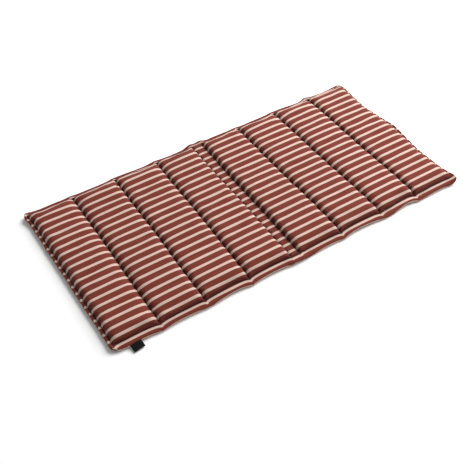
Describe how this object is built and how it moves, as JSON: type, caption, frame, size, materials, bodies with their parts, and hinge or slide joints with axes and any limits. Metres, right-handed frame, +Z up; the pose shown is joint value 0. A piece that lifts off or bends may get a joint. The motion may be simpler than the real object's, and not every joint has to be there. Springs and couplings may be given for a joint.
{
  "type": "folding seat cushion",
  "caption": "Long striped fabric seat cushion with padded cross channels either side of a thin fold strip, lying open, with a stitched lip and a plain woven tag.",
  "frame": {"origin": "on the surface the cushion lies on, under the middle of the rectangle that it takes up, tag included", "axes": "+X along the cushion's long side, +Y across it, away from the side with the tag, and +Z up from its flat underside to its crowned top"},
  "size_m": [1.0085, 0.5096, 0.0261],
  "materials": {
    "cover": "matt twill with rust-red and cream stripes",
    "tag": "smooth black woven tape"
  },
  "bodies": {
    "root": {"cushion": "cover", "tag": "tag"}
  },
  "joints": []
}
